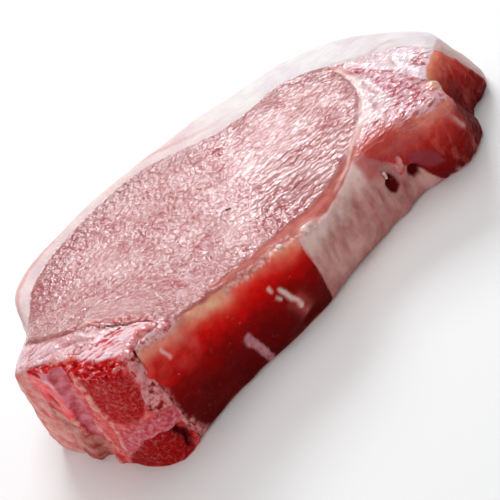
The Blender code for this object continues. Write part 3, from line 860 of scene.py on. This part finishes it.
# %% Colours of the cut face
material, tree, shader, place = new_material("raw meat")
fine = noise(tree, place, 420.0)
bead = mask_of(tree, "bead")
turned = node(tree, "Mapping", {"Vector": place, "Rotation": (0, 0, BUNDLE_TURN),
                                "Scale": (1 / 2.6, 1, 1)})
round_grain = noise(tree, place, 640.0, 2.0, 0.55)
long_grain = noise(tree, turned, 900.0, 1.5, 0.5)
cut_grain = node(tree, "Mix", {0: mask_of(tree, "slant"), 2: round_grain, 3: long_grain})
cut, side_mask = mask_of(tree, "cut"), mask_of(tree, "side")


def lay(paint, name, amount=1.0):
    """Lays a paint over the colour of the flesh where a stored mask says so."""
    mask = mask_of(tree, name)
    return over(tree, colour, paint, mask if amount == 1 else maths(tree, "MULTIPLY", mask, amount))


colour = two_tones(tree, place, 90.0, tone(174, 84, 82), tone(198, 134, 132), 0.36, 0.62)
# the tops of the beads are painted paler, a painted sheen of the wet film beside the real glints of the coat
colour = over(tree, colour, tone(212, 174, 178), between(tree, bead, 0.45, 0.85, 0.0, 0.6))
colour = lay(tone(158, 80, 84), "near_fat", 0.6)
raw_side = two_tones(tree, place, 200.0, tone(206, 118, 106), tone(178, 72, 66))
colour = over(tree, raw_side, colour, between(tree, cut, 0.1, 0.6))
chine_tone = over(tree, two_tones(tree, place, 220.0, tone(222, 142, 144), tone(242, 204, 212)),
                  two_tones(tree, place, 260.0, tone(206, 96, 90), tone(236, 176, 170)), side_mask)
colour = lay(chine_tone, "chine", 0.9)
colour = lay(two_tones(tree, place, 160.0, tone(246, 218, 226), tone(214, 140, 154), 0.5, 0.75), "cap")
colour = lay(over(tree, tone(224, 172, 182), tone(178, 56, 70), between(tree, cut_grain, 0.47, 0.6)),
             "tail")
# darker red in the cracks is painted shade
colour = lay(tone(168, 52, 60), "cracks")
print("cut face:", len(tree.nodes), "nodes")

# %% [markdown]
# The walls are painted by height, as painted light and shade: the upper edge of raw lean is
# painted bright as if lit from above, and its foot nearly black as painted shade, so the rib wall
# runs from bright to deep red. The end of the flank is browner, and painted the same way by height.
# Fat is off-white with rosy layers; it is painted paler towards the far end as painted light, and
# darker on the rib side as painted shade.

# %% Colours of the walls and the fat
height = maths(tree, "ADD", mask_of(tree, "height"),
               maths(tree, "MULTIPLY", maths(tree, "SUBTRACT", fine, 0.5), 0.3))
height = maths(tree, "ADD", height, between(tree, noise(tree, place, 60.0), 0.3, 0.7, -0.12, 0.12))
# painted light and shade on the rib wall: bright red at the rim, nearly black at the foot
wall_light_and_shade = tones_of(tree, height, [(0.0, tone(84, 1, 1)), (1.0, tone(244, 44, 30)),
                                    (0.35, tone(110, 1, 1)), (0.6, tone(146, 1, 1)),
                                    (0.84, tone(214, 8, 5))])
# the end walls take painted light and shade by height in the same way, with paler streaks over it
end_light_and_shade = tones_of(tree, height, [(0.0, tone(86, 4, 4)), (1.0, tone(222, 104, 86)),
                                   (0.45, tone(138, 14, 12)), (0.75, tone(190, 50, 44))])
streaky = node(tree, "Mapping", {"Vector": place, "Rotation": (0.5, 0, 0.3), "Scale": (1, 1, 0.3)})
end_light_and_shade = over(tree, end_light_and_shade, tone(216, 110, 92),
                between(tree, noise(tree, streaky, 330.0), 0.55, 0.75, 0.0, 0.5))
ends = maths(tree, "ADD", mask_of(tree, "tail"), mask_of(tree, "cap"), True)
colour = lay(over(tree, wall_light_and_shade, end_light_and_shade, ends), "wall")
colour = lay(two_tones(tree, place, 380.0, tone(232, 150, 150), tone(142, 8, 10), 0.42, 0.56), "fascia")
layer = between(tree, maths(tree, "ADD", mask_of(tree, "layer"),
                            maths(tree, "MULTIPLY", maths(tree, "SUBTRACT", fine, 0.5), 0.12)),
                0.30, 0.38)
band = maths(tree, "SUBTRACT", layer, between(tree, mask_of(tree, "layer"), 0.42, 0.56), True)
fat_tone = two_tones(tree, streaky, 120.0, tone(238, 216, 212), tone(226, 200, 202))
# towards the far end the fat is painted paler, a painted pool of light where the lamp falls strongest; its
# rosy layers fade there too
fat_tone = over(tree, fat_tone, two_tones(tree, streaky, 120.0, tone(240, 234, 232), tone(228, 214, 218)),
                mask_of(tree, "lit_far_end"))
band = maths(tree, "MULTIPLY", band, maths(tree, "SUBTRACT", 0.8, mask_of(tree, "lit_far_end"), True))
fat_tone = over(tree, fat_tone, tone(222, 164, 164), band)
# fat on the rib side is painted darker, as painted shade
fat_tone = over(tree, fat_tone, tone(214, 176, 168), maths(tree, "MULTIPLY", mask_of(tree, "front"), 0.8))
colour = lay(fat_tone, "fat")
seam_wall = two_tones(tree, streaky, 170.0, tone(218, 168, 160), tone(170, 92, 90), 0.34, 0.66)
# the seam wall is painted paler near the rim as painted light, and darker at its foot as painted shade
seam_wall = over(tree, seam_wall, tone(242, 214, 208), between(tree, height, 0.72, 1.0, 0.0, 0.8))
seam_wall = over(tree, tone(160, 78, 74), seam_wall, between(tree, height, -0.1, 0.3, 0.4, 1.0))
seam_top = two_tones(tree, place, 200.0, tone(226, 184, 180), tone(204, 128, 126))
colour = lay(over(tree, seam_top, seam_wall, mask_of(tree, "front")), "seam")
colour = lay(two_tones(tree, place, 240.0, tone(240, 216, 214), tone(216, 160, 168)), "cream", 0.9)
colour = lay(two_tones(tree, place, 260.0, tone(202, 118, 108), tone(182, 88, 80)), "bevel")
colour = lay(two_tones(tree, place, 220.0, tone(196, 60, 52), tone(170, 26, 26)), "salmon", 0.85)
colour = lay(two_tones(tree, place, 200.0, tone(226, 120, 112), tone(196, 46, 36)), "lobes", 0.75)
# painted glow of light through the thin rim, and the peach of the knob
colour = lay(two_tones(tree, place, 220.0, tone(255, 200, 162), tone(248, 156, 126)), "glow", 0.94)
colour = lay(two_tones(tree, place, 700.0, tone(244, 194, 196), tone(206, 60, 70), 0.44, 0.64), "ledge")
colour = lay(tone(146, 58, 70), "violet", 0.85)
colour = lay(two_tones(tree, place, 700.0, tone(255, 228, 224), tone(226, 120, 112)), "crust", 0.8)
colour = lay(tone(246, 214, 206), "pale", 0.8)
# painted shade in the creases, and the dark line of the arc
colour = lay(tone(150, 34, 42), "dark_lines_and_crease_shade", 0.5)
colour = lay(two_tones(tree, place, 300.0, tone(214, 160, 168), tone(176, 84, 94)), "tape", 0.85)
# blood in the holes, and painted shade in the hollow by the flank and in the slit
colour = lay(tone(92, 2, 6), "blood_and_shade")
feed(tree, shader.inputs["Base Color"], colour)
print("with walls and fat:", len(tree.nodes), "nodes")

# %% [markdown]
# The surface is set last. The cut face is all wet, so its coat is full there, and the bump of
# its grain breaks the light of the window into glints. Walls and fat only carry drops.

# %% Surface of the flesh
feed(tree, shader.inputs["Roughness"], between(tree, cut, 0.0, 1.0, 0.5, 0.25))
shader.inputs["Subsurface Weight"].default_value = 0.35
shader.inputs["Subsurface Radius"].default_value = (1.0, 0.3, 0.18)
shader.inputs["Subsurface Scale"].default_value = 2.0 * MM
shader.inputs["Specular IOR Level"].default_value = 0.04
wet = group(tree, juice, {"Place": place, "Scale": 900.0, "From": 0.7})
wet = maths(tree, "MULTIPLY", wet, maths(tree, "SUBTRACT", 0.8, mask_of(tree, "fat"), True))
film = between(tree, noise(tree, place, 75.0, 2.0), 0.36, 0.58, 0.6, 1.0)
shiny = maths(tree, "MAXIMUM", cut, mask_of(tree, "ledge"))
shiny = maths(tree, "MAXIMUM", shiny, mask_of(tree, "cream"))
shiny = maths(tree, "MAXIMUM", shiny, mask_of(tree, "rim"))
shiny = maths(tree, "MAXIMUM", shiny, maths(tree, "MULTIPLY", mask_of(tree, "salmon"), 0.6))
film = maths(tree, "MULTIPLY", film, shiny)
feed(tree, shader.inputs["Coat Weight"], maths(tree, "MAXIMUM", film, wet))
shader.inputs["Coat Roughness"].default_value = 0.06
shader.inputs["Coat IOR"].default_value = 1.7
strength = between(tree, shiny, 0.0, 1.0, 0.35, 0.9)
bump = node(tree, "Bump", {"Height": cut_grain, "Strength": strength, "Distance": 0.95 * MM})
feed(tree, shader.inputs["Normal"], bump)
feed(tree, shader.inputs["Coat Normal"], bump)
flesh.data.materials.clear()
flesh.data.materials.append(material)
print("raw meat:", len(tree.nodes), "nodes")

# %% [markdown]
# ## Sawn bone
#
# The saw leaves red bone: marrow full of blood between thin pale walls. Each place of the
# backbone takes its own pair of tones, mixed by fine noise, and the same drops of juice.

# %% The material of the bone
material, tree, shader, place = new_material("sawn bone")
speck = noise(tree, place, 1300.0, 6.0, 0.75)
fibres = node(tree, "Mapping", {"Vector": place, "Rotation": (0, 0, 0.35), "Scale": (0.3, 1, 1)})
PAINTS = [  # place, two tones, scale, and the range of noise that parts them
    ("crown", tone(252, 216, 222), tone(212, 48, 68), 900, 0.46, 0.62),
    ("fascia", tone(240, 156, 156), tone(150, 8, 12), 420, 0.42, 0.55),
    ("marrow", tone(172, 10, 14), tone(214, 78, 76), 2000, 0.46, 0.74),
    ("sponge", tone(196, 6, 14), tone(248, 150, 150), 800, 0.5, 0.75),
    ("grit", tone(160, 6, 8), tone(196, 52, 50), 1500, 0.5, 0.8),
    ("disc", tone(200, 60, 72), tone(230, 140, 150), 900, 0.4, 0.72),
    ("canal", tone(232, 130, 148), tone(190, 20, 40), 260, 0.4, 0.66),
    ("meat", tone(170, 66, 60), tone(216, 146, 136), 260, 0.36, 0.64),
    ("gloss", tone(252, 70, 80), tone(244, 130, 130), 300, 0.4, 0.7),
    ("shell", tone(240, 160, 150), tone(214, 60, 64), 520, 0.45, 0.65),
]
colour = two_tones(tree, place, 420.0, tone(206, 24, 30), tone(236, 120, 118))
for name, first, second, scale, low, high in PAINTS:
    where = fibres if name == "crown" else place
    colour = lay(two_tones(tree, where, scale, first, second, low, high), name)
# painted shade in the cleft and the hole
colour = lay(tone(70, 4, 6), "dark")
feed(tree, shader.inputs["Base Color"], colour)
shader.inputs["Roughness"].default_value = 0.4
shader.inputs["Specular IOR Level"].default_value = 0.04
shader.inputs["Subsurface Weight"].default_value = 0.15
shader.inputs["Subsurface Radius"].default_value = (1.0, 0.3, 0.2)
shader.inputs["Subsurface Scale"].default_value = 1.2 * MM
wet = group(tree, juice, {"Place": place, "Scale": 800.0, "From": 0.56})
feed(tree, shader.inputs["Coat Weight"], maths(tree, "MAXIMUM", wet, mask_of(tree, "canal")))
shader.inputs["Coat Roughness"].default_value = 0.1
bump = node(tree, "Bump", {"Height": speck, "Strength": 0.7, "Distance": 0.35 * MM})
feed(tree, shader.inputs["Normal"], bump)
feed(tree, shader.inputs["Coat Normal"], bump)
backbone.data.materials.clear()
backbone.data.materials.append(material)
print("sawn bone:", len(tree.nodes), "nodes")

# %% [markdown]
# ## Membrane
#
# Scraps are thin and clear, so they are pale with a rosy shade and quite wet. The lilac of the
# vessel is painted on the flesh, and one tiny dark speck of bone dust lies on the cut face.

# %% The material of the scraps
material, tree, shader, place = new_material("membrane")
colour = two_tones(tree, place, 420.0, tone(240, 206, 198), tone(220, 150, 142), 0.4, 0.65)
colour = lay(two_tones(tree, place, 420.0, tone(228, 150, 150), tone(190, 74, 76), 0.4, 0.65), "rosy")
colour = lay(tone(96, 60, 40), "dark")
feed(tree, shader.inputs["Base Color"], colour)
shader.inputs["Roughness"].default_value = 0.4
shader.inputs["Specular IOR Level"].default_value = 0.1
shader.inputs["Subsurface Weight"].default_value = 0.3
shader.inputs["Subsurface Radius"].default_value = (1.0, 0.4, 0.3)
shader.inputs["Subsurface Scale"].default_value = 1.0 * MM
wet = group(tree, juice, {"Place": place, "Scale": 700.0, "From": 0.5})
feed(tree, shader.inputs["Coat Weight"], wet)
shader.inputs["Coat Roughness"].default_value = 0.1
grain = noise(tree, place, 1100.0, 2.0)
bump = node(tree, "Bump", {"Height": grain, "Strength": 0.5, "Distance": 0.3 * MM})
feed(tree, shader.inputs["Normal"], bump)
feed(tree, shader.inputs["Coat Normal"], bump)
scraps.data.materials.append(material)
print("membrane:", len(tree.nodes), "nodes")

# %% [markdown]
# ## Table, light and camera
#
# The chop lies on a pale table. A wide soft box stands behind it, so its light slides over the
# cut face towards the camera and shows every bead. A broad fill from above and a
# weak one from the left keep the rib side readable but dark.

# %% Table and light
table = bpy.data.meshes.new("table")
reach_out = 3.0
table.from_pydata([(-reach_out, -reach_out, 0), (reach_out, -reach_out, 0),
                   (reach_out, reach_out, 0), (-reach_out, reach_out, 0)], [], [(0, 1, 2, 3)])
floor = bpy.data.objects.new("table", table)
bpy.context.scene.collection.objects.link(floor)
floor.location.z = -0.05 * MM
material, tree, shader, place = new_material("pale table")
shader.inputs["Base Color"].default_value = (0.96, 0.96, 0.96, 1)
shader.inputs["Roughness"].default_value = 0.9
table.materials.append(material)


def soft_box(name, place_at, aim, size, power, warmth=(1, 1, 1)):
    """A rectangular light at a place, turned to its aim."""
    lamp = bpy.data.lights.new(name, "AREA")
    lamp.shape, lamp.size, lamp.size_y = "RECTANGLE", size[0], size[1]
    lamp.energy, lamp.color = power, warmth
    holder = bpy.data.objects.new(name, lamp)
    bpy.context.scene.collection.objects.link(holder)
    holder.location = place_at
    holder.rotation_euler = (Vector(aim) - Vector(place_at)).to_track_quat("-Z", "Y").to_euler()
    return holder


soft_box("window behind", (0.28, 0.60, 0.50), (0, 0, 0.02), (0.42, 0.30), 4.6, (0.94, 0.97, 1.0))
soft_box("sky above", (0.1, 0.1, 0.8), (0, 0, 0), (0.6, 0.6), 2.0)
soft_box("fill from the left", (-0.72, -0.40, 0.45), (0, 0, 0.02), (0.5, 0.5), 2.0)
world = bpy.data.worlds.new("studio")
world.use_nodes = True
world.node_tree.nodes["Background"].inputs["Color"].default_value = (1, 1, 1, 1)
world.node_tree.nodes["Background"].inputs["Strength"].default_value = 0.32
bpy.context.scene.world = world
bpy.context.scene.view_settings.view_transform = "Standard"
print("lamps:", [lamp.name for lamp in bpy.data.lights])

# %% [markdown]
# The camera looks down at 38 degrees over the rib side, a little from the left, and is rolled,
# so that the chop runs from the lower left to the upper right of the frame.

# %% Camera
VIEW_DOWN, VIEW_ROUND, ROLL = math.radians(38), math.radians(-17), math.radians(-32)
AIM = Vector((-9.88, -13.21, 14.0)) * MM
DISTANCE = 0.36
eye_of_lens = bpy.data.cameras.new("camera")
eye_of_lens.lens, eye_of_lens.sensor_width, eye_of_lens.clip_start = 90.72, 36.0, 0.01
camera = bpy.data.objects.new("camera", eye_of_lens)
bpy.context.scene.collection.objects.link(camera)
turn = (Matrix.Rotation(VIEW_ROUND, 4, "Z") @ Matrix.Rotation(math.pi / 2 - VIEW_DOWN, 4, "X")
        @ Matrix.Rotation(ROLL, 4, "Z"))
camera.matrix_world = Matrix.Translation(AIM) @ turn @ Matrix.Translation((0, 0, DISTANCE))
bpy.context.scene.camera = camera
print("camera at", [round(v, 4) for v in camera.matrix_world.translation])
